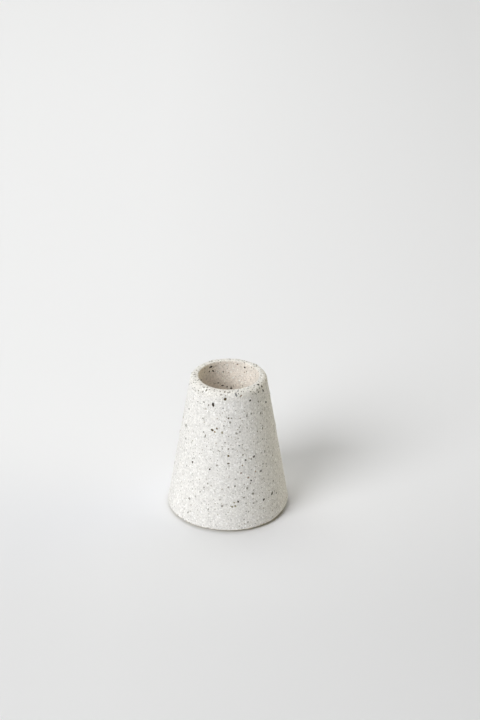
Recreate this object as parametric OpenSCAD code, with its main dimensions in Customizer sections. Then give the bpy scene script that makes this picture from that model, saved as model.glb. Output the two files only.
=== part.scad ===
// Toothbrush holder: a cast terrazzo cone with a round well, its stone chips and its cork foot pad.
// The origin is at the middle of the underside, and the well opens upwards.

/* [Body] */
// Height of the holder, from the table to the rim
holder_h = 76; // [60:1:100]
// Width of the cone at its foot
base_d = 64.8; // [56:0.1:80]
// Width of the well at its mouth
well_d = 30.8; // [28:0.1:36]
// Wall between the well and the outside at the rim
rim_wall = 4.25; // [3.75:0.25:6]
// Height of the well's floor over the table
floor_h = 14; // [9:0.5:20]
// Draft of the well's wall in degrees, which let the mould's core out
well_draft = 0.6; // [0.2:0.1:1.5]

/* [Edges] */
// Round on the outer edge of the rim
rim_round = 2.8; // [1:0.1:3]
// Round on the mouth of the well
mouth_round = 0.8; // [0.4:0.1:1.1]
// Round in the bottom corner of the well
floor_round = 5; // [2:0.5:10]
// Round on the foot
foot_round = 0.5; // [0.3:0.1:2]

/* [Foot pad] */
// Width of the ring of the body around the pad's recess
foot_ring_w = 4.5; // [3.5:0.5:8]
// Thickness of the cork pad
pad_h = 2; // [1.6:0.1:3]
// How far the pad stands out of its recess
pad_proud = 1.1; // [0.4:0.1:1.2]
// Gap around the pad in its recess
pad_gap = 0.3; // [0.2:0.1:0.6]
// Thickness of the adhesive film that holds the pad
film_h = 0.15; // [0.1:0.05:0.3]
// Margin of bare cork around the film
film_margin = 1; // [0.5:0.5:3]

/* [Stone chips] */
// Length of the longest chip
chip_size = 2.8; // [2:0.1:3.4]
// How deep each chip is bedded
chip_depth = 1.2; // [0.8:0.1:1.6]
// Number of chips scattered over the back
back_chips = 48; // [20:1:64]

/* [Hidden] */
$fn = 96;
// How far a shape that cuts passes the surface that it cuts
overrun = 0.5;
// The most degrees that one step of a round turns through
round_step = 7.5;

base_r = base_d/2;
well_r = well_d/2;
top_r = well_r + rim_wall;
well_foot_r = well_r - (holder_h - floor_h)*tan(well_draft);
recess_r = base_r - foot_ring_w;
recess_top = pad_h + film_h;
pad_r = recess_r - pad_gap;
film_r = pad_r - film_margin;
// The side's lean from upright, in degrees
side_lean = atan((base_r - top_r)/(holder_h - pad_proud));

function unit(v) = v/norm(v);
function along(list, i) = list[(i + len(list)) % len(list)];
function round_centre(a, b, c, r) = let (u = unit(a - b), v = unit(c - b))
    b + unit(u + v)*r/sin(acos(u*v)/2);
// The points of a round of radius r in the corner b between a and c
function round_points(a, b, c, r) = let (centre = round_centre(a, b, c, r),
    first = b + unit(a - b)*((centre - b)*unit(a - b)) - centre,
    last = b + unit(c - b)*((centre - b)*unit(c - b)) - centre,
    from = atan2(first[1], first[0]),
    sweep = (atan2(last[1], last[0]) - from + 540) % 360 - 180,
    steps = ceil(abs(sweep)/round_step))
    [for (i = [0:steps]) centre + r*[cos(from + sweep*i/steps), sin(from + sweep*i/steps)]];

// The corners of the body's half section, each with the radius of its round
foot_corner = [base_r, pad_proud];
rim_corner = [top_r, holder_h];
mouth_corner = [well_r, holder_h];
section_corners = [
    [[0, floor_h], 0], [[0, recess_top], 0], [[recess_r, recess_top], 0], [[recess_r, pad_proud], 0],
    [foot_corner, foot_round], [rim_corner, rim_round], [mouth_corner, mouth_round],
    [[well_foot_r, floor_h], floor_round]];
half_section = [for (i = [0:len(section_corners)-1]) let (corner = section_corners[i]) each corner[1] == 0
    ? [corner[0]]
    : round_points(along(section_corners, i - 1)[0], corner[0], along(section_corners, i + 1)[0], corner[1])];
rim_centre = round_centre(foot_corner, rim_corner, mouth_corner, rim_round);

// Which face of the body a chip lies in
SIDE = 0;
RIM = 1;
WELL = 2;
// Each chip is a row: its face, its turn about the axis in degrees from +X, its place up the side, round
// the rim or down the well, its length and width as shares of chip_size, and its tilt from level in degrees.
black_shares = [
    [SIDE, -112, 0.905, 1.05, 0.58, -72], [SIDE, -111, 0.44, 0.5, 0.4, 50], [SIDE, -134, 0.45, 0.6, 0.48, 85],
    [SIDE, -70, 0.51, 0.44, 0.38, -40], [SIDE, -59, 0.52, 0.68, 0.38, 60], [SIDE, -40, 0.2, 0.95, 0.5, 58],
    [SIDE, -52, 0.185, 0.6, 0.5, 45], [SIDE, -80, 0.215, 0.62, 0.4, -68], [SIDE, -65, 0.355, 0.5, 0.4, -35],
    [SIDE, -52, 0.4, 0.48, 0.42, -45], [SIDE, -58, 0.925, 0.5, 0.46, 20], [SIDE, -27, 0.855, 0.62, 0.5, 0],
    [SIDE, -30, 0.95, 0.74, 0.44, -70], [RIM, -35, 0.25, 0.66, 0.42, -30], [RIM, -31, 0.75, 0.5, 0.42, 30],
    [RIM, 118, 0.3, 0.4, 0.3, 25], [WELL, 127, 0.035, 0.96, 0.46, 0], [WELL, 122, 0.08, 0.76, 0.34, -40],
    [WELL, 131, 0.075, 0.4, 0.34, 0], [WELL, 57, 0.045, 0.46, 0.4, 0], [WELL, 85, 0.265, 0.56, 0.44, 20],
    [WELL, 93, 0.25, 0.36, 0.3, 0], [WELL, 102, 0.235, 0.74, 0.26, 0]];
brown_shares = [
    [SIDE, -95, 0.955, 0.8, 0.6, 62], [SIDE, -105, 0.74, 0.52, 0.42, -60], [SIDE, -111, 0.725, 0.66, 0.48, -30],
    [SIDE, -90, 0.82, 0.44, 0.38, 0], [SIDE, -86, 0.82, 0.4, 0.24, 0], [SIDE, -90, 0.6, 0.42, 0.3, 20],
    [SIDE, -90, 0.55, 0.5, 0.42, 10], [SIDE, -90, 0.495, 0.64, 0.3, 0], [RIM, -96, 0.28, 0.42, 0.3, 70],
    [RIM, 170, 0.6, 0.4, 0.28, 0]];
amber_shares = [[SIDE, -107.5, 0.715, 0.44, 0.4, -30], [WELL, -150, 0.12, 0.4, 0.28, 10]];
rust_shares = [
    [SIDE, -105, 0.635, 0.34, 0.28, 0], [SIDE, -74, 0.475, 0.36, 0.3, 0], [SIDE, -76, 0.42, 0.46, 0.36, 70],
    [SIDE, -68, 0.38, 0.48, 0.4, 50], [SIDE, -59, 0.41, 0.46, 0.36, 70], [RIM, -72, 0.95, 0.62, 0.32, 35],
    [RIM, 40, 0.4, 0.34, 0.26, 30], [WELL, 73, 0.03, 0.44, 0.36, 0]];
grey_shares = [
    [SIDE, -58, 0.83, 0.46, 0.42, 0], [SIDE, -65, 0.82, 0.38, 0.32, -30], [SIDE, -44, 0.895, 0.5, 0.4, 0],
    [SIDE, -42, 0.805, 0.46, 0.38, 90], [SIDE, -42, 0.695, 0.6, 0.36, 80], [SIDE, -51, 0.69, 0.4, 0.34, 0],
    [SIDE, -119, 0.895, 0.46, 0.34, 80], [SIDE, -127, 0.905, 0.5, 0.4, 0], [SIDE, -126, 0.79, 0.36, 0.3, 0],
    [SIDE, -156, 0.795, 0.6, 0.5, 0], [SIDE, -157, 0.665, 0.8, 0.5, -20], [SIDE, -152, 0.58, 0.56, 0.46, 0],
    [SIDE, -123, 0.695, 0.46, 0.36, 80], [SIDE, -120, 0.67, 0.84, 0.34, 80], [SIDE, -96, 0.765, 0.4, 0.28, 85],
    [SIDE, -88, 0.79, 0.56, 0.44, 80], [SIDE, -76, 0.75, 0.42, 0.34, 80], [SIDE, -80, 0.71, 0.6, 0.5, -30],
    [SIDE, -94, 0.645, 0.38, 0.32, 0], [SIDE, -102, 0.585, 0.34, 0.28, 0], [SIDE, -85, 0.6, 0.52, 0.28, 10],
    [SIDE, -43, 0.53, 0.38, 0.34, 0], [SIDE, -48, 0.445, 0.38, 0.34, 0], [SIDE, -63, 0.51, 0.38, 0.34, 0],
    [SIDE, -82, 0.38, 0.56, 0.28, 0], [SIDE, -83, 0.33, 0.5, 0.38, 0], [SIDE, -66, 0.335, 0.36, 0.32, 0],
    [SIDE, -70, 0.305, 0.56, 0.42, 85], [SIDE, -63, 0.28, 0.36, 0.3, 0], [SIDE, -64, 0.255, 0.66, 0.48, -15],
    [SIDE, -74, 0.24, 0.64, 0.34, 8], [SIDE, -64, 0.185, 0.46, 0.36, 0], [SIDE, -72, 0.195, 0.36, 0.28, 0],
    [SIDE, -70, 0.13, 0.36, 0.3, 0], [SIDE, -71, 0.055, 0.42, 0.3, 0], [SIDE, -33, 0.18, 0.52, 0.4, 80],
    [SIDE, -112, 0.335, 0.46, 0.32, 75], [SIDE, -116, 0.3, 0.46, 0.32, 75], [SIDE, -120, 0.26, 0.44, 0.3, 85],
    [SIDE, -110, 0.145, 0.4, 0.26, 85], [SIDE, -96, 0.185, 0.6, 0.5, 0], [SIDE, -132, 0.075, 0.34, 0.3, 0],
    [SIDE, -140, 0.965, 0.36, 0.32, 0], [SIDE, -41, 0.96, 0.52, 0.42, 0], [SIDE, -48, 0.96, 0.36, 0.32, 0],
    [RIM, -43, 0.82, 0.42, 0.38, 0], [RIM, -37, 0.76, 0.4, 0.34, 0], [RIM, -55, 0.68, 0.36, 0.3, 0],
    [RIM, -126, 0.6, 0.54, 0.4, 80], [RIM, -133, 0.3, 0.5, 0.42, 0], [RIM, -132, 0.95, 0.34, 0.3, 0],
    [RIM, -158, 0.55, 0.38, 0.3, 0], [RIM, 180, 0.05, 0.56, 0.44, 0], [RIM, 75, 0.5, 0.36, 0.28, 50],
    [WELL, 101, 0.105, 0.5, 0.3, 85], [WELL, 111, 0.205, 0.44, 0.34, 0]];
olive_shares = [
    [SIDE, -98, 0.715, 0.58, 0.44, -75], [SIDE, -86, 0.18, 0.52, 0.48, 0], [SIDE, -83, 0.185, 0.5, 0.46, -20],
    [SIDE, -84, 0.21, 0.4, 0.36, 0], [SIDE, -73, 0.55, 0.5, 0.28, 0], [SIDE, -30, 0.46, 0.4, 0.3, 80],
    [SIDE, -138, 0.6, 0.34, 0.26, 40]];
slate_shares = [
    [RIM, -79, 0.75, 0.96, 0.4, -68], [RIM, -75, 0.2, 0.42, 0.32, 40], [RIM, -75, 0.62, 0.34, 0.26, 80],
    [SIDE, -77, 0.62, 0.38, 0.32, 0], [WELL, 10, 0.08, 0.36, 0.28, 0]];

// The colours of chip, and the order in which they repeat in the scatter over the back
BLACK = 0;
BROWN = 1;
AMBER = 2;
RUST = 3;
GREY = 4;
OLIVE = 5;
SLATE = 6;
front_chips = [black_shares, brown_shares, amber_shares, rust_shares, grey_shares, olive_shares, slate_shares];
back_kinds = [GREY, BLACK, BROWN, GREY, SLATE, BLACK, GREY, RUST, GREY, BLACK, OLIVE, GREY, BROWN, BLACK,
    GREY, AMBER, RUST, GREY, SLATE];
// The scatter runs from back_start through back_sweep degrees, and from low_share to high_share of the side
back_start = -12;
back_sweep = 204;
golden_turn = 137.508;
turn_wobble = 3;
low_share = 0.05;
high_share = 0.95;
length_share = 0.5;
width_share = 0.37;
height_wobble_share = 0.015;
length_wobble_share = 0.1;
width_wobble_share = 0.04;

// A chip's outline has 5 to 7 corners, each moved along and drawn in by chance
corner_counts = [5, 6, 7, 6];
corner_wobble_share = 0.17;
corner_least_share = 0.78;

function chance(reach, seed) = rands(-reach, reach, 1, seed)[0];
// The golden angle spreads any number of chips evenly, and chance takes the pattern out
function back_row(i) = [SIDE,
    back_start + back_sweep*((i*golden_turn/360) % 1) + chance(turn_wobble, i),
    low_share + (high_share - low_share)*(i + 1/2)/back_chips + chance(height_wobble_share, back_chips + i),
    length_share + chance(length_wobble_share, 2*back_chips + i),
    width_share + chance(width_wobble_share, 3*back_chips + i), chance(90, 4*back_chips + i)];
function chips_of(kind) = concat(front_chips[kind],
    [for (i = [0:back_chips-1]) if (back_kinds[i % len(back_kinds)] == kind) back_row(i)]);

// Where a row puts a chip: its radius, its height, and its face's slope as a turn of +Z towards +X
function side_seat(share) = [base_r + (top_r - base_r)*share, pad_proud + (holder_h - pad_proud)*share,
    90 - side_lean];
function rim_seat(share) = let (slope = share*(90 - side_lean))
    [rim_centre[0] + rim_round*sin(slope), rim_centre[1] + rim_round*cos(slope), slope];
function well_seat(share) = [well_r + (well_foot_r - well_r)*share, holder_h + (floor_h - holder_h)*share,
    well_draft - 90];
function seat(row) = row[0] == SIDE ? side_seat(row[2]) : row[0] == RIM ? rim_seat(row[2]) : well_seat(row[2]);
function chip_outline(row, seed) = let (n = along(corner_counts, seed),
    along_by = rands(-corner_wobble_share, corner_wobble_share, n, seed),
    drawn_in = rands(corner_least_share, 1, n, seed + 1))
    [for (i = [0:n-1]) let (a = 360*(i + along_by[i])/n)
        chip_size/2*drawn_in[i]*[row[4]*cos(a), row[3]*sin(a)]];

// The cone as it leaves the mould, before the chips' beds
module blank() rotate_extrude() polygon(half_section);
// One chip's prism, square to its face and passing it, which is both the chip's bed and its sides
module chip_prism(row, seed) {
    place = seat(row);
    rotate([0, 0, row[1]])
        translate([place[0], 0, place[1]])
            rotate([0, place[2], 0])
                rotate([0, 0, row[5]])
                    translate([0, 0, -chip_depth])
                        linear_extrude(chip_depth + overrun) polygon(chip_outline(row, seed));
}
module chip_prisms(kind) {
    rows = chips_of(kind);
    for (i = [0:len(rows)-1]) chip_prism(rows[i], kind*back_chips + i);
}
// Chips ground flush with the body's faces
module chips(kind) intersection() {
    blank();
    chip_prisms(kind);
}

module cast_body() color("gainsboro") difference() {
    blank();
    for (kind = [BLACK:SLATE]) chip_prisms(kind);
}
module cork_pad() color("burlywood") cylinder(h = pad_h, r = pad_r);
module pad_adhesive() color("ivory") translate([0, 0, pad_h]) cylinder(h = film_h, r = film_r);
module black_chips() color("#2b2826") chips(BLACK);
module brown_chips() color("#4a3426") chips(BROWN);
module amber_chips() color("#b9772e") chips(AMBER);
module rust_chips() color("#9a5b3c") chips(RUST);
module grey_chips() color("#8d8b86") chips(GREY);
module olive_chips() color("#8c8452") chips(OLIVE);
module slate_chips() color("#6f7b88") chips(SLATE);

cast_body();
cork_pad();
pad_adhesive();
black_chips();
brown_chips();
amber_chips();
rust_chips();
grey_chips();
olive_chips();
slate_chips();
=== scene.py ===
# %% [markdown]
# # A toothbrush holder in cast terrazzo
# The real thing is one heavy casting: white cement and crushed stone poured into a cone-shaped mould,
# with a round well left by a core. After it sets, the skin is ground, and every pebble near the surface
# shows as a small flat patch. A thin cork disc under the foot keeps it from scratching the shelf.
# The construction model already holds each piece at its real size. This script gives them their looks.

# %% Load the construction model
import math

import bmesh
import bpy
from mathutils import Matrix, Vector, kdtree, noise


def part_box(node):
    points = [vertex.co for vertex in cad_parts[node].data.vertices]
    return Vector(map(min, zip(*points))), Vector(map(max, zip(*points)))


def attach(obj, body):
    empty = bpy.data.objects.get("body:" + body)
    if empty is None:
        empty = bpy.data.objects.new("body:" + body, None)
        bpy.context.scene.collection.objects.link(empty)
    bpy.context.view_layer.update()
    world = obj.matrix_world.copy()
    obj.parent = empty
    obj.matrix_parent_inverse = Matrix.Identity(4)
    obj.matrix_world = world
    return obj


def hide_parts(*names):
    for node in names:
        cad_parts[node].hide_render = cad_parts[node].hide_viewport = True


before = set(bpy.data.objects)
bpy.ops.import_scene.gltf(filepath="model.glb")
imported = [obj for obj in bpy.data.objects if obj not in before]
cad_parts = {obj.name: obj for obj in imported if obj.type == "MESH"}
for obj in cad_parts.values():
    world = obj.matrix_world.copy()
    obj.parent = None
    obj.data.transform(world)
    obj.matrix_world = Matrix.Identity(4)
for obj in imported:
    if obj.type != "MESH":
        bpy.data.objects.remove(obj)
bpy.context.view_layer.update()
MM = 0.001

# %% [markdown]
# ## The sizes that shape the casting
# Where a size can be read from the model's own pieces, it is, so that the two never drift apart: the
# casting's box gives its height and the gap under its foot, and the cork's box gives the recess. The rest
# are the casting's own sizes, in real millimetres.

# %% Sizes of the casting
cast_low, cast_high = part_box("cast_body")
pad_low, pad_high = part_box("cork_pad")
film_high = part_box("pad_adhesive")[1]
FOOT_RADIUS = 32.4 * MM
WELL_RADIUS = 15.4 * MM
RIM_WALL = 4.25 * MM
WELL_FLOOR = 14 * MM
WELL_DRAFT = math.radians(0.6)
PAD_GAP = 0.3 * MM
RIM_ROUND = 2.8 * MM
MOUTH_ROUND = 0.8 * MM
WELL_FLOOR_ROUND = 5 * MM
FOOT_ROUND = 0.5 * MM
rim_radius = WELL_RADIUS + RIM_WALL
recess_radius = pad_high.x + PAD_GAP
well_foot_radius = WELL_RADIUS - (cast_high.z - WELL_FLOOR) * math.tan(WELL_DRAFT)
print(f"casting {cast_high.z / MM:.1f} mm high, rim {2 * rim_radius / MM:.1f} mm across")

# %% [markdown]
# ## Turning the casting
# A cone with a well could be cut from a cylinder with booleans, but everything about it is round, so it
# is turned instead: half of its section is drawn as a wire and spun about Z, as a potter's rib shapes a
# pot. The wire starts with one point for each corner. The bevel operator, set to vertices, then rounds
# each corner with its own radius, which is easier to read than a list of arc points.

# %% Draw the half section and round its corners
def tangent_length(before, corner, after, radius):
    """How far from the corner its round begins, which is what the bevel calls its offset."""
    angle = (before - corner).angle(after - corner)
    return radius / math.tan(angle / 2)


def round_corner(bm, vert, radius, segments):
    ends = [edge.other_vert(vert).co for edge in vert.link_edges]
    bmesh.ops.bevel(bm, geom=[vert], offset=tangent_length(ends[0], vert.co, ends[1], radius),
                    offset_type="OFFSET", segments=segments, profile=0.5, affect="VERTICES", material=-1)


def wire(bm, points):
    verts = [bm.verts.new((radius, 0, height)) for radius, height in points]
    for first, second in zip(verts, verts[1:]):
        bm.edges.new((first, second))
    return verts


casting = bmesh.new()
section = wire(casting, [
    (0, WELL_FLOOR), (well_foot_radius, WELL_FLOOR), (WELL_RADIUS, cast_high.z), (rim_radius, cast_high.z),
    (FOOT_RADIUS, cast_low.z), (recess_radius, cast_low.z), (recess_radius, film_high.z), (0, film_high.z)])
well_foot, mouth, rim_edge, foot_edge = section[1:5]
for corner, radius, segments in [(well_foot, WELL_FLOOR_ROUND, 10), (mouth, MOUTH_ROUND, 5),
                                 (rim_edge, RIM_ROUND, 12), (foot_edge, FOOT_ROUND, 5)]:
    round_corner(casting, corner, radius, segments)
print("half section:", len(casting.verts), "points")

# %% [markdown]
# ## Dividing it finely enough to carry relief
# Ground cement is never quite true. For that relief to be real geometry, the mesh needs faces of about
# half a millimetre where the eye goes, on the outside and the rim, and can be coarser down the well and
# under the foot. So each straight stretch of the wire is divided to suit where it is, and then spun. One
# narrow wedge is spun and copied round, which is quicker than to spin the whole turn.

# %% Divide the wire
OUTSIDE_STEP = 0.6 * MM
WELL_STEP = 1.0 * MM
HIDDEN_STEP = 2.5 * MM
# Heights that differ by less than this count as level
LEVEL_SLACK = 0.1 * MM


def step_for(edge):
    middle = (edge.verts[0].co + edge.verts[1].co) / 2
    if middle.z <= film_high.z + LEVEL_SLACK and middle.x <= recess_radius:
        return HIDDEN_STEP
    return WELL_STEP if middle.x < WELL_RADIUS else OUTSIDE_STEP


def divide_wire(bm, step_of):
    for edge in bm.edges[:]:
        cuts = math.ceil(edge.calc_length() / step_of(edge)) - 1
        if cuts > 0:
            bmesh.ops.subdivide_edges(bm, edges=[edge], cuts=cuts)


divide_wire(casting, step_for)
print("wire divided into", len(casting.edges), "steps")

# %% Spin it
SPIN_STEPS = 400
WEDGES = 20
MERGE_DISTANCE = 0.001 * MM


def spin_shut(bm, steps):
    """Spins the wire through one wedge, copies the wedge round, and merges what meets."""
    wedge = 2 * math.pi / WEDGES
    for geometry, angle, count, copy in [(bm.verts[:] + bm.edges[:], wedge, steps // WEDGES, False),
                                         (None, 2 * math.pi - wedge, WEDGES - 1, True)]:
        bmesh.ops.spin(bm, geom=geometry or bm.verts[:] + bm.edges[:] + bm.faces[:], cent=(0, 0, 0),
                       axis=(0, 0, 1), angle=angle, steps=count, use_merge=False, use_duplicate=copy)
    bmesh.ops.remove_doubles(bm, verts=bm.verts[:], dist=MERGE_DISTANCE)
    bmesh.ops.recalc_face_normals(bm, faces=bm.faces[:])


spin_shut(casting, SPIN_STEPS)
print("casting:", len(casting.faces), "faces")

# %% [markdown]
# ## Relief that respects the stones
# A displacement modifier would lift and sink the skin blindly, and the stones would then stand proud or
# drown. Here each point is moved one by one instead: a tree of the stones' corners says how far away the
# nearest one is, and the relief fades out there, so that the cement stays level with every stone. All
# relief goes inwards, as grinding does, so the casting never grows past its real size. The foot gets small
# breaks along its edge, where a sharp arris of cement always crumbles, and at the right, where a hand drags
# it over the shelf, the edge is worn to a bigger round.

# %% Find the stones
CHIP_NODES = [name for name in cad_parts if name.endswith("_chips")]


def smooth(value, low, high):
    t = min(max((value - low) / (high - low), 0), 1)
    return t * t * (3 - 2 * t)


def chip_tree():
    corners = [v.co.copy() for name in CHIP_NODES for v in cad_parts[name].data.vertices]
    tree = kdtree.KDTree(len(corners))
    for index, corner in enumerate(corners):
        tree.insert(corner, index)
    tree.balance()
    return tree


stones = chip_tree()
print("kinds of stone:", ", ".join(sorted(CHIP_NODES)))

# %% Waves in the skin, and breaks along the foot's edge
# Each layer of waviness has its length and its depth
WAVES = [(17 * MM, 0.16 * MM), (5 * MM, 0.07 * MM), (1.4 * MM, 0.06 * MM)]
# Each layer of the noise that crumbles the edge has its length and its weight
BREAK_LAYERS = [(2.1 * MM, 1), (0.84 * MM, 0.5)]
BREAK_REACH = 1.9 * MM
BREAK_DEPTH = 0.75 * MM
BREAK_THRESHOLD = 0.16


def waviness(point):
    return sum(depth * (noise.noise(point / length) + 1) / 2 for length, depth in WAVES)


def edge_breaks(point):
    """How deep the foot's edge has crumbled at this point."""
    if point.z > cast_low.z + BREAK_REACH or math.hypot(point.x, point.y) < recess_radius + BREAK_REACH:
        return 0
    near_edge = 1 - smooth(point.z - cast_low.z, 0, BREAK_REACH)
    roughness = sum(weight * noise.noise(point / length) for length, weight in BREAK_LAYERS)
    return BREAK_DEPTH * near_edge * smooth(roughness, BREAK_THRESHOLD, 1)


print(f"waves at most {sum(depth for length, depth in WAVES) / MM:.2f} mm deep")

# %% The worn part of the edge
WEAR_ROUND = 2.1 * MM
# The wear starts and ends at these turns about Z, in degrees
WEAR_STARTS = (-54, -25)
WEAR_ENDS = (20, 60)


def worn_edge(point):
    """The move that brings a point of the foot's edge in to the worn, bigger round."""
    turn = math.degrees(math.atan2(point.y, point.x))
    wear = smooth(turn, *WEAR_STARTS) * (1 - smooth(turn, *WEAR_ENDS))
    radius = FOOT_ROUND + (WEAR_ROUND - FOOT_ROUND) * wear
    slope = math.atan2(FOOT_RADIUS - rim_radius, cast_high.z - cast_low.z)
    outwards = Vector((point.x, point.y, 0)).normalized()
    centre = outwards * (FOOT_RADIUS - radius / math.tan((math.pi / 2 - slope) / 2))
    arm = point - centre - Vector((0, 0, cast_low.z + radius))
    level = arm.dot(outwards)
    beyond = level > 0 and level * math.sin(slope) > arm.z * math.cos(slope)
    return -arm.normalized() * max(arm.length - radius, 0) if beyond else Vector()


print(f"edge worn from a round of {FOOT_ROUND / MM:.1f} mm to one of {WEAR_ROUND / MM:.1f} mm")

# %% Work the relief into the casting
# The skin lies this little under the stones, so that their faces never fight with it
SKIN_UNDER_CHIPS = 0.03 * MM
# There is no relief nearer to a stone's corner than the first of these, and full relief past the second
CALM_AROUND_CHIP = 0.5 * MM
CALM_ENDS = 1.6 * MM

casting.normal_update()
moves = []
for vert in casting.verts:
    calm = smooth(stones.find(vert.co)[2], CALM_AROUND_CHIP, CALM_ENDS)
    sunk = SKIN_UNDER_CHIPS + calm * (waviness(vert.co) + edge_breaks(vert.co))
    moves.append((vert, calm * worn_edge(vert.co) - vert.normal * sunk))
for vert, move in moves:
    vert.co += move
print(f"relief: up to {max(move.length for vert, move in moves) / MM:.2f} mm deep")

# %% Make the casting an object
def finish_piece(bm, name, stands_for):
    mesh = bpy.data.meshes.new(name)
    bm.to_mesh(mesh)
    bm.free()
    mesh.shade_smooth()
    piece = bpy.data.objects.new(name, mesh)
    bpy.context.scene.collection.objects.link(piece)
    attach(piece, "root")
    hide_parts(stands_for)
    return piece


casting_piece = finish_piece(casting, "terrazzo_casting", "cast_body")
print("casting piece:", len(casting_piece.data.polygons), "faces")

# %% [markdown]
# ## Mixing the terrazzo
# Terrazzo is a solid thing: the same specks run right through it, and the surface shows whichever ones it
# happens to cut. A painted picture would stretch over the rim and tear at the seam, so the mix is built in
# space instead, from Voronoi cells in Object coordinates. Each cell is a grain, each grain has its own
# colour and size by chance, and the surface slices through them as the grinding wheel does. A material is
# a tree of nodes, so the steps below each add a few nodes to the same tree, through small tools that later
# materials use again.

# %% Start the terrazzo
def add_node(tree, kind, inputs=None, **settings):
    """Adds a shader node. An input's value is a plain number or colour, or another node's output."""
    node = tree.nodes.new("ShaderNode" + kind)
    for key, value in settings.items():
        setattr(node, key, value)
    for key, value in (inputs or {}).items():
        if isinstance(value, bpy.types.NodeSocket):
            tree.links.new(value, node.inputs[key])
        else:
            node.inputs[key].default_value = value
    return node


def new_material(name):
    material = bpy.data.materials.new(name)
    material.use_nodes = True
    tree = material.node_tree
    return material, tree, tree.nodes["Principled BSDF"]


terrazzo, mix, terrazzo_shader = new_material("terrazzo_matrix")
casting_piece.data.materials.append(terrazzo)
print("started", terrazzo.name)

# %% Measure in millimetres, and shake the places
def millimetres(tree):
    """Object coordinates in millimetres, so that sizes in a material read as real sizes."""
    place = add_node(tree, "TexCoord").outputs["Object"]
    return add_node(tree, "VectorMath", {0: place, "Scale": 1 / MM}, operation="SCALE").outputs[0]


def shaken(tree, place, length, amount):
    """Coordinates pushed about by noise, which makes round things irregular."""
    drift = add_node(tree, "TexNoise", {"Vector": place, "Scale": 1 / length, "Detail": 1}).outputs["Color"]
    centred = add_node(tree, "VectorMath", {0: drift, 1: (0.5, 0.5, 0.5)}, operation="SUBTRACT").outputs[0]
    push = add_node(tree, "VectorMath", {0: centred, "Scale": amount}, operation="SCALE").outputs[0]
    return add_node(tree, "VectorMath", {0: place, 1: push}).outputs[0]


mix_place = millimetres(mix)
ragged_place = shaken(mix, mix_place, length=0.5, amount=0.35)
print("nodes for the places:", len(mix.nodes))

# %% [markdown]
# ## The cement
# White cement is never one flat tone. It dries in faint clouds as long as a fingernail is wide, and every
# pinch of it sets a little lighter or darker than the next. The clouds come from noise, and the pinches
# from Voronoi cells, whose borders are shaken ragged so that none of them looks like a tile.

# %% Cloud the cement
CEMENT = (0.815, 0.8, 0.768)
# The clouds have this length in millimetres, and their middles are this share as pale
CLOUD_LENGTH = 9
CLOUD_SHARE = 0.975


def noise_at(tree, place, length, detail):
    node = add_node(tree, "TexNoise", {"Vector": place, "Scale": 1 / length, "Detail": detail})
    return node.outputs["Fac"]


def ranged(tree, value, from_low, from_high, to_low, to_high):
    return add_node(tree, "MapRange", {"Value": value, "From Min": from_low, "From Max": from_high,
                                       "To Min": to_low, "To Max": to_high}).outputs["Result"]


def mix_colours(tree, factor, first, second, blend="MIX"):
    # The Mix node has a set of sockets for each kind of value, so its colour ones go by number
    FACTOR, FIRST, SECOND, RESULT = 0, 6, 7, 2
    node = add_node(tree, "Mix", {FACTOR: factor, FIRST: first, SECOND: second}, data_type="RGBA",
                    blend_type=blend, clamp_result=True)
    return node.outputs[RESULT]


clouds = ranged(mix, noise_at(mix, mix_place, CLOUD_LENGTH, detail=3), 0.3, 0.7, 0, 1)
clouded = mix_colours(mix, clouds, (*CEMENT, 1), (*[part * CLOUD_SHARE for part in CEMENT], 1))
print("nodes with the clouds:", len(mix.nodes))

# %% Mottle it
# Each layer of mottle has its cell's size in millimetres and its darkest and palest tone
MOTTLES = [(0.75, 0.87, 1.11), (1.4, 0.97, 1.02)]


def mottled(tree, place, colour, spacing, darkest, palest):
    """Gives every cell of the mix its own tone, so that no two neighbours are quite alike."""
    cells = add_node(tree, "TexVoronoi", {"Vector": place, "Scale": 1 / spacing})
    chance = add_node(tree, "SeparateColor", {"Color": cells.outputs["Color"]}).outputs["Blue"]
    return mix_colours(tree, 1, colour, ranged(tree, chance, 0, 1, darkest, palest), "MULTIPLY")


cement = clouded
for spacing, darkest, palest in MOTTLES:
    cement = mottled(mix, ragged_place, cement, spacing, darkest, palest)
print("nodes with the mottles:", len(mix.nodes))

# %% [markdown]
# ## Three places that differ
# The same mix looks different in three places: in the well, which was cast against a core and whose tint
# also holds painted warm bounce light, on the rim, which is ground the most, and on the underside, which is
# never ground and whose tint is painted warm shade from the gap under the foot. Each of these places is
# found from its radius or its height alone, so no part of the mesh has to be painted or given a material of
# its own.

# %% Find the well, the rim and the underside
# The underside's painted shade begins and is complete at these heights over the casting's foot
UNDERSIDE_BEGINS = 0.6 * MM
UNDERSIDE_FULL = 0.3 * MM


def math_node(tree, operation, first, second):
    return add_node(tree, "Math", {0: first, 1: second}, operation=operation).outputs[0]


def in_well(tree, place):
    """1 on the well's wall and floor, fading to 0 over the round of its mouth."""
    level = add_node(tree, "VectorMath", {0: place, 1: (1, 1, 0)}, operation="MULTIPLY").outputs[0]
    radius = add_node(tree, "VectorMath", {0: level}, operation="LENGTH").outputs["Value"]
    return ranged(tree, radius, WELL_RADIUS / MM, (WELL_RADIUS + MOUTH_ROUND) / MM, 1, 0)


def between_heights(tree, place, none, full):
    """0 at one height in the casting and 1 at the other."""
    height = add_node(tree, "SeparateXYZ", {"Vector": place}).outputs["Z"]
    return ranged(tree, height, none / MM, full / MM, 0, 1)


well_mask = in_well(mix, mix_place)
top_mask = between_heights(mix, mix_place, cast_high.z - 2 * RIM_ROUND, cast_high.z - RIM_ROUND / 2)
rim_mask = math_node(mix, "SUBTRACT", top_mask, well_mask)
# The lowest band of the casting, which gets the painted shade of the gap under the foot
underside_shade_mask = between_heights(mix, mix_place, cast_low.z + UNDERSIDE_BEGINS, cast_low.z + UNDERSIDE_FULL)
print(f"the rim's finish starts {(cast_high.z - 2 * RIM_ROUND) / MM:.1f} mm up")
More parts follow.
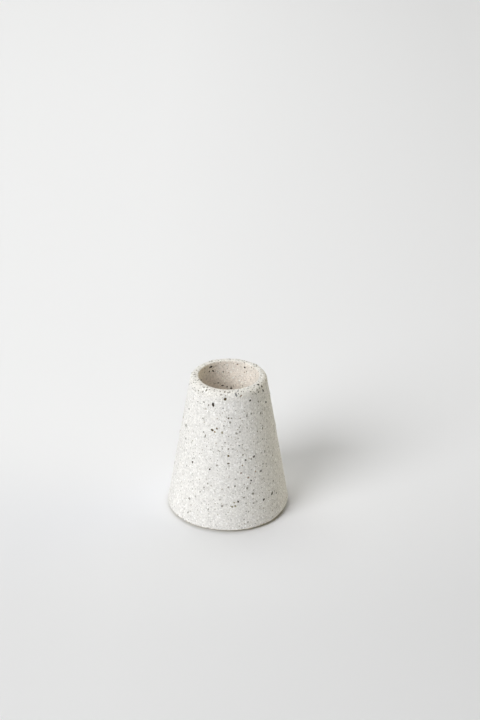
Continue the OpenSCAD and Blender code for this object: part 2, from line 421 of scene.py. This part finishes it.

# %% [markdown]
# ## The grains in the cement
# Four kinds of grain fill the room between the stones. Sand is the finest, and cement partly veils it.
# Quartz is paler than the cement, and its tones also carry a painted glint, grit is darker, and here and
# there lies a pebble that is nearly as big as a small stone. One tool cuts them all, so each kind needs
# only its own spacing, share, size and tones.

# %% Cut grains, the sand first
# A grain's own radius is this share of its kind's radius, and up to this much more by chance
SMALLEST_GRAIN_SHARE = 0.5
GRAIN_SPREAD_SHARE = 0.7
# Each kind has its spacing in millimetres, the share of its cells that hold a grain, and its radius as a
# share of the spacing. Where its edge is crisper than most, soft is the edge's width on the same scale.
SAND = {"spacing": 0.55, "share": 0.5, "radius": 0.42}


def grains(tree, place, spacing, share, radius, soft=0.07):
    """How much of each point is grain, and a number from 0 to 1 that is the same all over one grain."""
    cells = add_node(tree, "TexVoronoi", {"Vector": place, "Scale": 1 / spacing})
    chance = add_node(tree, "SeparateColor", {"Color": cells.outputs["Color"]})
    own_radius = math_node(tree, "MULTIPLY_ADD", chance.outputs["Blue"], radius * GRAIN_SPREAD_SHARE)
    own_radius.node.inputs[2].default_value = radius * SMALLEST_GRAIN_SHARE
    depth = math_node(tree, "SUBTRACT", own_radius, cells.outputs["Distance"])
    inside = ranged(tree, depth, 0, soft, 0, 1)
    there = math_node(tree, "LESS_THAN", chance.outputs["Red"], share)
    return math_node(tree, "MULTIPLY", inside, there), chance.outputs["Green"]


sand, sand_tone = grains(mix, ragged_place, **SAND)
print("nodes with the sand's shape:", len(mix.nodes))

# %% Colour the sand and lay it in the cement
SAND_TONES = [(0.6, 0.58, 0.54), (0.52, 0.5, 0.46), (0.68, 0.67, 0.64), (0.44, 0.42, 0.38),
              (0.6, 0.57, 0.5)]
# Cement veils the sand, so it shows only this strongly
SAND_STRENGTH = 0.7


def palette(tree, value, tones):
    """Gives each stretch of a 0 to 1 value its own colour, in equal shares."""
    node = add_node(tree, "ValToRGB", {"Fac": value})
    ramp = node.color_ramp
    ramp.interpolation = "CONSTANT"
    while len(ramp.elements) < len(tones):
        ramp.elements.new(1)
    for index, tone in enumerate(tones):
        ramp.elements[index].position = index / len(tones)
        ramp.elements[index].color = (*tone, 1)
    return node.outputs["Color"]


def laid_in(tree, colour, grain, grain_colour, strength=1):
    """The colour with one kind of grain laid in it."""
    return mix_colours(tree, math_node(tree, "MULTIPLY", grain, strength), colour, grain_colour)


with_sand = laid_in(mix, cement, sand, palette(mix, sand_tone, SAND_TONES), SAND_STRENGTH)
print("nodes with the sand:", len(mix.nodes))

# %% Lay the quartz and the grit
QUARTZ = {"spacing": 1.1, "share": 0.32, "radius": 0.43, "soft": 0.04}
# The quartz tones are the grains' own pale colour and, in the palest one, a painted glint of their polish
QUARTZ_AND_GLINT_TONES = [(0.99, 0.98, 0.96), (0.95, 0.94, 0.91)]
# Grinding bares more grit, so the share of its cells that hold a grain grows towards the rim
GRIT = {"spacing": 1.15, "radius": 0.36}
GRIT_SHARE = 0.33
GRIT_SHARE_AT_RIM = 0.78
GRIT_TONES = [(0.36, 0.34, 0.3), (0.44, 0.42, 0.38), (0.5, 0.49, 0.46), (0.4, 0.35, 0.28),
              (0.26, 0.24, 0.2), (0.46, 0.45, 0.43)]
GRIT_STRENGTH = 0.85
# Hands polish the rim, and its grit looks darker for it
GRIT_DARKER_AT_RIM = (0.55, 0.53, 0.5)

quartz, quartz_tone = grains(mix, shaken(mix, mix_place, length=0.6, amount=0.4), **QUARTZ)
with_quartz = laid_in(mix, with_sand, quartz, palette(mix, quartz_tone, QUARTZ_AND_GLINT_TONES))
grit_share = ranged(mix, rim_mask, 0, 1, GRIT_SHARE, GRIT_SHARE_AT_RIM)
grit, grit_tone = grains(mix, ragged_place, share=grit_share, **GRIT)
grit_colour = mix_colours(mix, rim_mask, palette(mix, grit_tone, GRIT_TONES), (*GRIT_DARKER_AT_RIM, 1),
                          "MULTIPLY")
with_grit = laid_in(mix, with_quartz, grit, grit_colour, GRIT_STRENGTH)
print("nodes with quartz and grit:", len(mix.nodes))

# %% Lay the pebbles
PEBBLES = {"spacing": 2.9, "share": 0.08, "radius": 0.22}
PEBBLE_TONES = [(0.1, 0.088, 0.068), (0.22, 0.2, 0.165), (0.3, 0.28, 0.25), (0.28, 0.21, 0.14),
                (0.2, 0.2, 0.19)]

pebbles, pebble_tone = grains(mix, shaken(mix, mix_place, length=0.7, amount=0.5), **PEBBLES)
with_pebbles = laid_in(mix, with_grit, pebbles, palette(mix, pebble_tone, PEBBLE_TONES))
bare_stone = math_node(mix, "MAXIMUM", math_node(mix, "MAXIMUM", quartz, grit), pebbles)
print("nodes with every grain:", len(mix.nodes))

# %% [markdown]
# ## The skin of the casting
# The core leaves the well's wall unground and a little warmer than the outside, and the well's tint adds
# painted warm bounce light on top, which also makes the wall paler. On the rim the cement is a little
# paler. The underside and the lowest edge of the foot are tinted a dark warm brown, which is painted shade
# from the gap under the foot. So each of the three places tints the whole mix. Cement is also matt and full
# of pinholes, while the grains are hard and take a slight polish, so the roughness drops where a grain is,
# and the bump has pinholes, faint swells, and grains that stand a hair proud.

# %% Tint the three places
# Partly the core's warmer unground skin, partly painted warm bounce light that also makes the well paler
WELL_SKIN_AND_BOUNCE_TINT = (1.115, 1.052, 0.995)
RIM_TINT = (1.025, 1.015, 0.995)
# Dark warm brown on the underside and the foot's lowest edge: painted shade under the foot
UNDERSIDE_PAINTED_SHADE = (0.73, 0.66, 0.47)

# The well's tint holds painted warm bounce light, and the underside's tint is painted shade
terrazzo_colour = with_pebbles
for mask, tint in [(well_mask, WELL_SKIN_AND_BOUNCE_TINT), (rim_mask, RIM_TINT), (underside_shade_mask, UNDERSIDE_PAINTED_SHADE)]:
    terrazzo_colour = mix_colours(mix, mask, terrazzo_colour, (*tint, 1), "MULTIPLY")
mix.links.new(terrazzo_colour, terrazzo_shader.inputs["Base Color"])
print("nodes with the tints:", len(mix.nodes))

# %% Give the mix its roughness and its relief
CEMENT_ROUGHNESS = 0.82
GRAIN_ROUGHNESS = 0.55
# The pinholes and the swells have these lengths in millimetres
PINHOLE_LENGTH = 0.35
SWELL_LENGTH = 1.0
# How high the grains and the swells stand, against the pinholes
GRAIN_HEIGHT_SHARE = 0.6
SWELL_HEIGHT_SHARE = 2.5


def bump(tree, height, depth_mm, strength):
    node = add_node(tree, "Bump", {"Height": height, "Distance": depth_mm * MM, "Strength": strength})
    return node.outputs["Normal"]


pinholes = noise_at(mix, mix_place, PINHOLE_LENGTH, detail=3)
proud_grains = math_node(mix, "MULTIPLY", bare_stone, GRAIN_HEIGHT_SHARE)
swells = math_node(mix, "MULTIPLY", noise_at(mix, mix_place, SWELL_LENGTH, detail=1), SWELL_HEIGHT_SHARE)
skin_height = math_node(mix, "ADD", math_node(mix, "ADD", pinholes, proud_grains), swells)
mix.links.new(bump(mix, skin_height, depth_mm=0.1, strength=0.8), terrazzo_shader.inputs["Normal"])
roughness = ranged(mix, bare_stone, 0, 1, CEMENT_ROUGHNESS, GRAIN_ROUGHNESS)
mix.links.new(roughness, terrazzo_shader.inputs["Roughness"])
terrazzo_shader.inputs["Specular IOR Level"].default_value = 0.35
print("terrazzo:", len(mix.nodes), "nodes")

# %% [markdown]
# ## The stones
# Each stone stays the construction model's own solid, because its shape is already right: an irregular
# pebble cut flush with the face that it lies in. Real pebbles of one kind still differ, and each is
# mottled inside, so every kind gets two close tones mixed by noise, specks of a third, and a honed finish
# that is a little smoother than the cement around it.

# %% Choose the stones' tones
# For each kind: its tone, the tone it drifts to, its specks and its roughness
STONE_TONES = {
    "black_stone": ((0.017, 0.01, 0.005), (0.04, 0.028, 0.016), (0.09, 0.07, 0.045), 0.42),
    "brown_stone": ((0.045, 0.028, 0.003), (0.105, 0.068, 0.01), (0.03, 0.018, 0.004), 0.45),
    "amber_stone": ((0.24, 0.15, 0.012), (0.13, 0.08, 0.008), (0.42, 0.29, 0.07), 0.35),
    "rust_stone": ((0.24, 0.165, 0.12), (0.34, 0.26, 0.2), (0.12, 0.07, 0.045), 0.5),
    "grey_stone": ((0.205, 0.195, 0.165), (0.355, 0.34, 0.3), (0.12, 0.11, 0.09), 0.5),
    "olive_stone": ((0.22, 0.2, 0.12), (0.34, 0.32, 0.22), (0.12, 0.11, 0.06), 0.48),
    "slate_stone": ((0.16, 0.165, 0.165), (0.26, 0.265, 0.26), (0.1, 0.105, 0.11), 0.45)}
print("tones for", len(STONE_TONES), "kinds of stone")

# %% Give each kind of stone its material
# One tone drifts into the other over this length in millimetres, and turns this much rougher
DRIFT_LENGTH = 1.4
DRIFT_ROUGHER = 0.12
SPECKS = {"spacing": 0.45, "share": 0.4, "radius": 0.4}
SPECK_STRENGTH = 0.7
HONING_LENGTH = 0.25


def stone_material(name, tone, drift, specks, roughness):
    material, tree, shader = new_material(name)
    place = millimetres(tree)
    mottle = ranged(tree, noise_at(tree, place, DRIFT_LENGTH, detail=3), 0.38, 0.62, 0, 1)
    colour = mix_colours(tree, mottle, (*tone, 1), (*drift, 1))
    speck = grains(tree, shaken(tree, place, length=0.3, amount=0.2), **SPECKS)[0]
    colour = laid_in(tree, colour, speck, (*specks, 1), SPECK_STRENGTH)
    tree.links.new(colour, shader.inputs["Base Color"])
    dullness = ranged(tree, mottle, 0, 1, roughness, roughness + DRIFT_ROUGHER)
    tree.links.new(dullness, shader.inputs["Roughness"])
    honing = noise_at(tree, place, HONING_LENGTH, detail=2)
    tree.links.new(bump(tree, honing, depth_mm=0.02, strength=0.6), shader.inputs["Normal"])
    shader.inputs["Specular IOR Level"].default_value = 0.25
    return material


def dress_node(name, material):
    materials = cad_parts[name].data.materials
    materials.clear()
    materials.append(material)


for name in CHIP_NODES:
    slot = name.replace("_chips", "_stone")
    dress_node(name, stone_material(slot, *STONE_TONES[slot]))
    print(name, "are cut from", slot)

# %% [markdown]
# ## The cork pad
# Pressed cork is granules of bark glued into a block and sliced, so its cut face is a mosaic of flat
# patches with thin dark gaps, each patch lying a hair higher or lower than the next. The disc is spun
# from a wire like the casting, with its lower edge eased, and its underside then gets that mosaic as real
# relief, from the same kind of cell noise that colours it.

# %% Spin the cork disc
CORK_EDGE_ROUND = 0.3 * MM
CORK_STEP = 0.5 * MM
CORK_SPIN_STEPS = 320


def cork_step(edge):
    """Fine steps below and at the rim of the disc, and coarse ones over its hidden top."""
    return CORK_STEP if min(vert.co.z for vert in edge.verts) < pad_high.z else HIDDEN_STEP


cork = bmesh.new()
half_disc = [(0, pad_low.z), (pad_high.x, pad_low.z), (pad_high.x, pad_high.z), (0, pad_high.z)]
lower_edge = wire(cork, half_disc)[1]
round_corner(cork, lower_edge, CORK_EDGE_ROUND, segments=3)
divide_wire(cork, cork_step)
spin_shut(cork, CORK_SPIN_STEPS)
print("cork disc:", len(cork.faces), "faces")

# %% Sink the gaps between its granules
GRANULE = 1.7 * MM
GRANULE_STAGGER = 0.05 * MM
GAP_DEPTH = 0.12 * MM
GAP_WIDTH_SHARE = 0.16
# The granules' centres are spread by this much, so that each falls in a noise cell of its own
CENTRE_SPREAD = 7


def granule_relief(point):
    distances, centres = noise.voronoi(point / GRANULE)
    gap = 1 - smooth(distances[1] - distances[0], 0, GAP_WIDTH_SHARE)
    return GAP_DEPTH * gap + GRANULE_STAGGER * noise.cell(centres[0] * CENTRE_SPREAD)


cork.normal_update()
lowered = [(vert, -vert.normal * abs(granule_relief(vert.co))) for vert in cork.verts
           if vert.co.z < pad_high.z - LEVEL_SLACK]
for vert, move in lowered:
    vert.co += move
cork_piece = finish_piece(cork, "cork_disc", "cork_pad")
print("granules worked into", len(lowered), "points")

# %% Colour the cork
CORK_TONES = [(0.42, 0.26, 0.13), (0.5, 0.33, 0.175), (0.35, 0.21, 0.1), (0.56, 0.39, 0.22),
              (0.46, 0.29, 0.145)]
CORK_FIBRE = (0.62, 0.43, 0.26)
CORK_GAP = (0.13, 0.06, 0.03)
PORES = {"spacing": 0.9, "share": 0.3, "radius": 0.3}
FIBRE_LENGTH = 0.35
CRUMB_LENGTH = 0.3


def cork_material():
    material, tree, shader = new_material("cork")
    place = millimetres(tree)
    cell_scale = MM / GRANULE
    cells = add_node(tree, "TexVoronoi", {"Vector": place, "Scale": cell_scale})
    edges = add_node(tree, "TexVoronoi", {"Vector": place, "Scale": cell_scale}, feature="DISTANCE_TO_EDGE")
    tone = add_node(tree, "SeparateColor", {"Color": cells.outputs["Color"]}).outputs["Green"]
    fibre = ranged(tree, noise_at(tree, place, FIBRE_LENGTH, detail=3), 0.35, 0.7, 0, 0.5)
    colour = mix_colours(tree, fibre, palette(tree, tone, CORK_TONES), (*CORK_FIBRE, 1))
    pores = grains(tree, shaken(tree, place, length=0.5, amount=0.4), **PORES)[0]
    gap = ranged(tree, edges.outputs["Distance"], 0, 0.06, 1, 0)
    for hollow in (pores, gap):
        colour = mix_colours(tree, hollow, colour, (*CORK_GAP, 1))
    tree.links.new(colour, shader.inputs["Base Color"])
    tree.links.new(ranged(tree, fibre, 0, 0.5, 0.85, 0.7), shader.inputs["Roughness"])
    height = math_node(tree, "SUBTRACT", noise_at(tree, place, CRUMB_LENGTH, detail=3), pores)
    tree.links.new(bump(tree, height, depth_mm=0.08, strength=0.8), shader.inputs["Normal"])
    return material


cork_piece.data.materials.append(cork_material())
print("cork:", len(CORK_TONES), "tones of granule")

# %% [markdown]
# ## The adhesive film
# The cork is held by a double-sided film, seen only as a thin line inside the recess. It is clear gum
# that has gone milky, so it gets a cloudy pale yellow with soft ripples, and stays the model's own solid.

# %% Colour the film
FILM_MILKY = (0.72, 0.69, 0.58)
FILM_CLEAR = (0.6, 0.56, 0.44)
FILM_CLOUD_LENGTH = 4
FILM_RIPPLE_LENGTH = 1.5


def film_material():
    material, tree, shader = new_material("adhesive_film")
    place = millimetres(tree)
    cloudy = ranged(tree, noise_at(tree, place, FILM_CLOUD_LENGTH, detail=3), 0.3, 0.7, 0, 1)
    colour = mix_colours(tree, cloudy, (*FILM_MILKY, 1), (*FILM_CLEAR, 1))
    tree.links.new(colour, shader.inputs["Base Color"])
    tree.links.new(ranged(tree, cloudy, 0, 1, 0.3, 0.5), shader.inputs["Roughness"])
    ripples = noise_at(tree, place, FILM_RIPPLE_LENGTH, detail=2)
    tree.links.new(bump(tree, ripples, depth_mm=0.03, strength=0.5), shader.inputs["Normal"])
    return material


dress_node("pad_adhesive", film_material())
print(f"film top at {film_high.z / MM:.2f} mm")

# %% [markdown]
# ## The table
# The photograph is high-key: a seamless pale sweep that darkens a little towards the front and the right.
# A flat disc does for it, and its own colour makes it pale, not more light. Its darkening towards the front
# and the right is painted fall-off of the light: two gentle ramps in Object coordinates, one in depth and
# one to the side, darken its colour there, without any lamp being bent to it.

# %% Colour the table
# The ramps between these tones and shares paint the light's fall-off towards the front and the right into
# the table's colour
TABLE_FRONT = (0.823, 0.824, 0.84)
TABLE_BACK = (0.935, 0.936, 0.953)
# Between these two places in depth the front's tone turns into the back's
FRONT_ENDS = -130 * MM
BACK_BEGINS = 106 * MM
# Between these two places to the side the sweep falls off to this share
LEFT_ENDS = -55 * MM
RIGHT_BEGINS = 220 * MM
RIGHT_SHARE = 0.872

table_paper, paper, paper_shader = new_material("table_paper")
paper_place = add_node(paper, "SeparateXYZ", {"Vector": add_node(paper, "TexCoord").outputs["Object"]})
depth = add_node(paper, "MapRange", {"Value": paper_place.outputs["Y"], "From Min": FRONT_ENDS,
                                     "From Max": BACK_BEGINS}, interpolation_type="SMOOTHSTEP")
front_to_back = mix_colours(paper, depth.outputs["Result"], (*TABLE_FRONT, 1), (*TABLE_BACK, 1))
left_to_right = ranged(paper, paper_place.outputs["X"], LEFT_ENDS, RIGHT_BEGINS, 1, RIGHT_SHARE)
paper_colour = mix_colours(paper, 1, front_to_back, left_to_right, "MULTIPLY")
paper.links.new(paper_colour, paper_shader.inputs["Base Color"])
paper_shader.inputs["Roughness"].default_value = 0.9
paper_shader.inputs["Specular IOR Level"].default_value = 0.1
print("table paper:", len(paper.nodes), "nodes")

# %% Lay the table
TABLE_RADIUS = 4.0
TABLE_SEGMENTS = 96

table = bmesh.new()
bmesh.ops.create_circle(table, cap_ends=True, segments=TABLE_SEGMENTS, radius=TABLE_RADIUS)
table_mesh = bpy.data.meshes.new("table")
table.to_mesh(table_mesh)
table.free()
table_mesh.materials.append(table_paper)
table_top = bpy.data.objects.new("table", table_mesh)
bpy.context.scene.collection.objects.link(table_top)
print(f"table {2 * TABLE_RADIUS:.0f} m across")

# %% [markdown]
# ## The lamps
# The shadow on the table tells where the main lamp stands: it points away from it, its length gives the
# lamp's height, and its edge is as soft as the lamp is wide. That makes it one broad lamp at the front
# left. Two lamps high up behind stand for the ceiling, which keeps the shadow pale. A low one at the
# right, as big as a wall and as warm as a painted one, sends light back into the shaded side, so that this
# side is a warm grey and not a cold one. All of them stand far off, so the table is lit evenly.

# %% Light it
# Each lamp has its turn about Z and its height over the table in degrees, its distance and its width in
# metres, its power in watts and its colour
LAMPS = {
    "key": (225, 33, 6.0, 3.96, 309, (0.984, 0.991, 1)),
    "ceiling_left": (128, 66, 3.0, 2.2, 26.6, (0.987, 1, 0.939)),
    "ceiling_right": (60, 60, 3.0, 2.2, 17.2, (0.95, 0.95, 1)),
    "warm_wall": (13, 10, 8.0, 8.0, 168, (1, 0.872, 0.46))}


def direction(turn, elevation):
    turn, elevation = math.radians(turn), math.radians(elevation)
    return Vector((math.cos(turn) * math.cos(elevation), math.sin(turn) * math.cos(elevation),
                   math.sin(elevation)))


def soft_lamp(name, turn, elevation, distance, width, power, colour):
    """A round soft box, aimed at the holder."""
    light = bpy.data.lights.new(name, "AREA")
    light.shape = "DISK"
    light.size = width
    light.energy = power
    light.color = colour
    lamp = bpy.data.objects.new(name, light)
    lamp.location = direction(turn, elevation) * distance
    lamp.rotation_euler = (-lamp.location).to_track_quat("-Z", "Y").to_euler()
    bpy.context.scene.collection.objects.link(lamp)


for name, lamp_values in LAMPS.items():
    soft_lamp(name, *lamp_values)
print("lamps:", ", ".join(LAMPS))

# %% [markdown]
# ## The air
# The room does two jobs that need different strengths. As a light it only lifts the shadows a little. As
# a background, and in anything shiny, it is a pale wall. The Light Path node tells the two apart.

# %% Fill the air
FILL = 0.075
AIR_SEEN = (0.86, 0.86, 0.86)

world = bpy.data.worlds.new("studio")
bpy.context.scene.world = world
world.use_nodes = True
air = world.node_tree
air.nodes.clear()
rays = add_node(air, "LightPath")
direct = math_node(air, "MAXIMUM", rays.outputs["Is Camera Ray"], rays.outputs["Is Glossy Ray"])
seen = math_node(air, "MAXIMUM", direct, rays.outputs["Is Transmission Ray"])
fill = add_node(air, "Background", {"Color": (1, 1, 1, 1), "Strength": FILL})
backdrop = add_node(air, "Background", {"Color": (*AIR_SEEN, 1), "Strength": 1})
blend = add_node(air, "MixShader", {0: seen, 1: fill.outputs[0], 2: backdrop.outputs[0]})
add_node(air, "OutputWorld", {"Surface": blend.outputs[0]})
print("fill:", FILL)

# %% [markdown]
# ## The camera
# The outline of the cone fixes the camera: how round the rim looks gives the height it was held at, and
# how much the foot outgrows the rim gives the distance. That worked out as a short telephoto from nine
# tenths of a metre, about 30 degrees above level. The holder stands low and left in the frame because the
# lens is aimed over it, at the place that the frame's middle shows.

# %% Place the camera
CAMERA_DISTANCE = 900 * MM
CAMERA_ELEVATION = 30.33
CAMERA_ROLL = math.radians(0.44)
# The camera stands in front, and this is its turn about Z in degrees
FRONT = -90
MIDDLE = Vector((0, 0, 38.1)) * MM
AIM = Vector((5.75, 0, 84.4)) * MM
FOCAL_LENGTH = 85.6
FRAME_LONG_SIDE = 36

camera_data = bpy.data.cameras.new("camera")
camera_data.sensor_width = FRAME_LONG_SIDE
camera_data.lens = FOCAL_LENGTH
camera_data.clip_start = MM
camera = bpy.data.objects.new("camera", camera_data)
bpy.context.scene.collection.objects.link(camera)
camera.location = MIDDLE + CAMERA_DISTANCE * direction(FRONT, CAMERA_ELEVATION)
level = (AIM - camera.location).to_track_quat("-Z", "Y").to_matrix()
camera.rotation_euler = (level @ Matrix.Rotation(CAMERA_ROLL, 3, "Z")).to_euler()
bpy.context.scene.camera = camera
bpy.context.scene.view_settings.view_transform = "Standard"
print(f"camera {camera.location.length:.3f} m from the middle of the foot")

# %% [markdown]
# ## The dressed holder's size
# The relief only takes material away, so the dressed holder has to come out a hair smaller than the
# construction model, and never larger.


bpy.context.view_layer.update()
